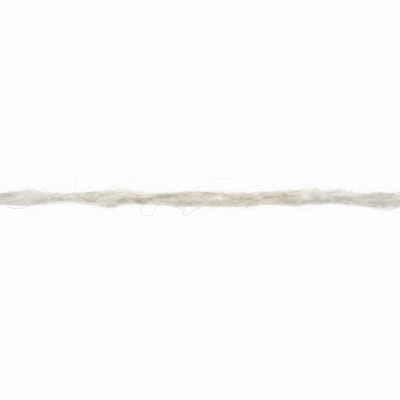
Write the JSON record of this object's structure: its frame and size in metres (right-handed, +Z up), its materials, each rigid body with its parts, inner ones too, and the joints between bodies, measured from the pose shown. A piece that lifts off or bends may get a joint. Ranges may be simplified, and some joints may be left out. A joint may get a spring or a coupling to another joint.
{
  "type": "yarn strand",
  "caption": "Cut length of soft single-ply wool yarn, loosely spun, with slubs, thin places and a slow twist, lying straight; for knitting, weaving and craft work.",
  "frame": {"origin": "under the middle of the strand's outer box, on the surface that it lies on", "axes": "+X along the strand, +Y across it, towards the top of the picture, +Z up, towards the camera"},
  "size_m": [0.1, 0.0046, 0.0025],
  "materials": {
    "wool": "undyed off-white wool, matt and fuzzy, with pale fibres along the twist"
  },
  "bodies": {
    "root": {"yarn_strand": "wool"}
  },
  "joints": []
}
